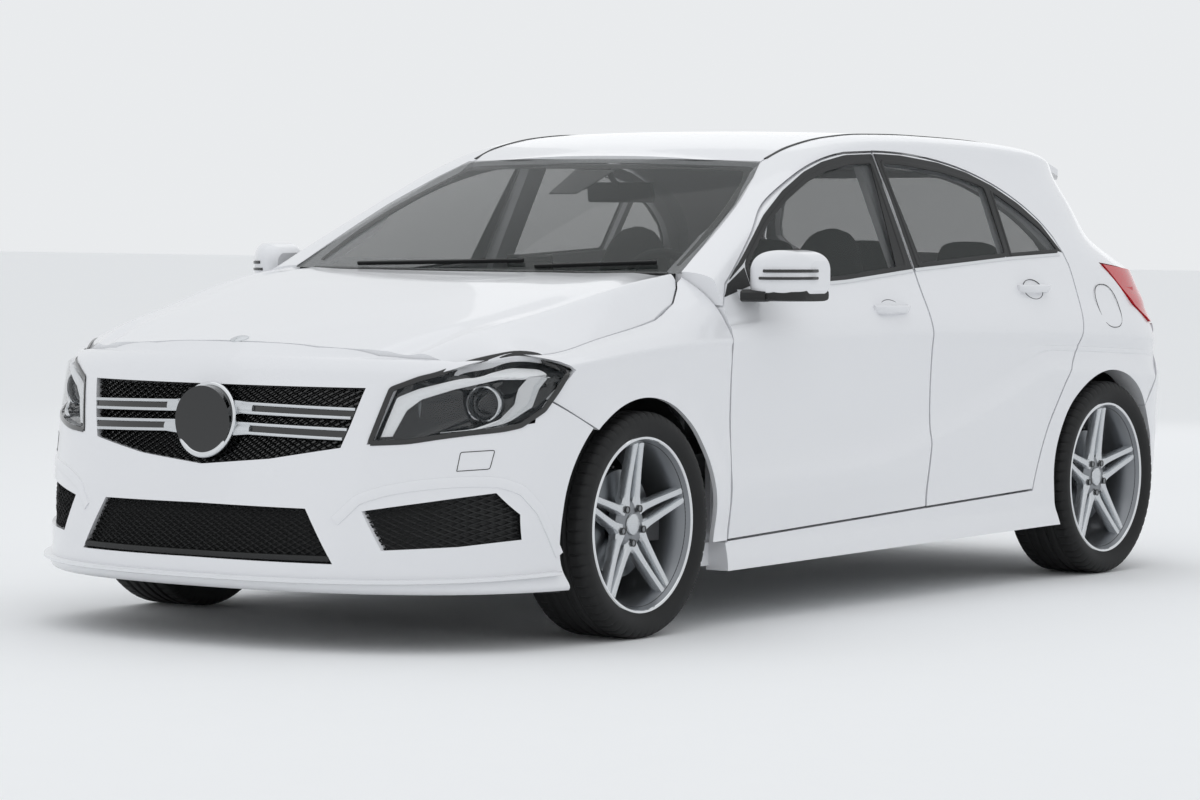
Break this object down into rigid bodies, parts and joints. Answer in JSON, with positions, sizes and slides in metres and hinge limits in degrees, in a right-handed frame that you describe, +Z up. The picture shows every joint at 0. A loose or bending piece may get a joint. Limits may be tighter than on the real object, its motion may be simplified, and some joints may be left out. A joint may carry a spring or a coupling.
{
  "type": "hatchback car",
  "caption": "White hatchback car with opening doors, bonnet and tailgate, turning wheels, steered front axle, cabin and black mesh grille.",
  "frame": {"origin": "on the ground, at the centre of the car's length and width", "axes": "+X forward, +Y to the car's left, +Z up"},
  "size_m": [4.292, 2.022, 1.4329],
  "materials": {
    "paint": "gloss",
    "structure": "satin",
    "black_plastic": "satin",
    "gloss_black": "gloss",
    "glass": "clear",
    "lamp": "clear",
    "lamp_red": "gloss",
    "alloy": "satin",
    "tyre": "matte",
    "iron": "rough",
    "steel": "satin",
    "trim": "matte",
    "cloth": "matte"
  },
  "bodies": {
    "body": {"floor_pan": "structure", "front_frame": "structure", "body_side_left": "paint", "body_side_right": "paint", "roof_panel": "paint", "fender_left": "paint", "fender_right": "paint", "front_bumper": "paint", "rear_bumper": "paint", "windshield": "glass", "radiator_grille": "gloss_black", "bumper_grilles": "black_plastic", "headlamp_left": "lamp", "headlamp_right": "lamp", "tail_lamps": "lamp_red", "cowl": "black_plastic", "dashboard": "trim", "front_seat_left": "cloth", "front_seat_right": "cloth", "rear_seat": "cloth", "front_subframe": "iron", "rear_axle": "iron", "engine": "iron", "exhaust": "steel", "wheel_arch_liners": "black_plastic"},
    "front_wheel_left": {"front_wheel_left": "alloy", "front_tyre_left": "tyre"},
    "front_wheel_right": {"front_wheel_right": "alloy", "front_tyre_right": "tyre"},
    "rear_wheel_left": {"rear_wheel_left": "alloy", "rear_tyre_left": "tyre"},
    "rear_wheel_right": {"rear_wheel_right": "alloy", "rear_tyre_right": "tyre"},
    "knuckle_left": {"knuckle_left": "iron"},
    "front_door_left": {"front_door_left": "paint", "front_door_glass_left": "glass", "mirror_left": "paint"},
    "rear_door_left": {"rear_door_left": "paint", "rear_door_glass_left": "glass"},
    "knuckle_right": {"knuckle_right": "iron"},
    "front_door_right": {"front_door_right": "paint", "front_door_glass_right": "glass", "mirror_right": "paint"},
    "rear_door_right": {"rear_door_right": "paint", "rear_door_glass_right": "glass"},
    "tailgate": {"tailgate": "paint", "tailgate_glass": "glass", "tailgate_lamps": "lamp_red"},
    "bonnet": {"bonnet": "paint"},
    "steering_wheel": {"steering_wheel": "trim"}
  },
  "joints": [
    {"name": "steering_left", "type": "hinge", "parent": "body", "child": "knuckle_left", "pos_m": [1.247, 0.69, 0.315], "axis": [0, 0, 1], "range_deg": [-33, 33]},
    {"name": "steering_right", "type": "hinge", "parent": "body", "child": "knuckle_right", "pos_m": [1.247, -0.69, 0.315], "axis": [0, 0, 1], "range_deg": [-33, 33]},
    {"name": "front_wheel_spin_left", "type": "hinge", "parent": "knuckle_left", "child": "front_wheel_left", "pos_m": [1.247, 0.7765, 0.315], "axis": [0, 1, 0], "continuous": true},
    {"name": "rear_wheel_spin_left", "type": "hinge", "parent": "body", "child": "rear_wheel_left", "pos_m": [-1.452, 0.7765, 0.315], "axis": [0, 1, 0], "continuous": true},
    {"name": "front_wheel_spin_right", "type": "hinge", "parent": "knuckle_right", "child": "front_wheel_right", "pos_m": [1.247, -0.7765, 0.315], "axis": [0, 1, 0], "continuous": true},
    {"name": "rear_wheel_spin_right", "type": "hinge", "parent": "body", "child": "rear_wheel_right", "pos_m": [-1.452, -0.7765, 0.315], "axis": [0, 1, 0], "continuous": true},
    {"name": "steering_wheel_turn", "type": "hinge", "parent": "body", "child": "steering_wheel", "pos_m": [0.352, 0.37, 0.9], "axis": [-0.9135, 0, 0.4067], "range_deg": [-500, 500]},
    {"name": "front_door_hinge_left", "type": "hinge", "parent": "body", "child": "front_door_left", "pos_m": [0.812, 0.8855, 0.6], "axis": [0, 0, 1], "range_deg": [-68, 0]},
    {"name": "rear_door_hinge_left", "type": "hinge", "parent": "body", "child": "rear_door_left", "pos_m": [-0.254, 0.8855, 0.6], "axis": [0, 0, 1], "range_deg": [-65, 0]},
    {"name": "front_door_hinge_right", "type": "hinge", "parent": "body", "child": "front_door_right", "pos_m": [0.812, -0.8855, 0.6], "axis": [0, 0, 1], "range_deg": [0, 68]},
    {"name": "rear_door_hinge_right", "type": "hinge", "parent": "body", "child": "rear_door_right", "pos_m": [-0.254, -0.8855, 0.6], "axis": [0, 0, 1], "range_deg": [0, 65]},
    {"name": "tailgate_hinge", "type": "hinge", "parent": "body", "child": "tailgate", "pos_m": [-1.4735, 0, 1.404], "axis": [0, 1, 0], "range_deg": [0, 85]},
    {"name": "bonnet_hinge", "type": "hinge", "parent": "body", "child": "bonnet", "pos_m": [0.846, 0, 1.008], "axis": [0, -1, 0], "range_deg": [0, 50]}
  ],
  "couplings": [
    {"joint": "steering_right", "follows": "steering_left", "ratio": 1},
    {"joint": "steering_wheel_turn", "follows": "steering_left", "ratio": 15}
  ]
}
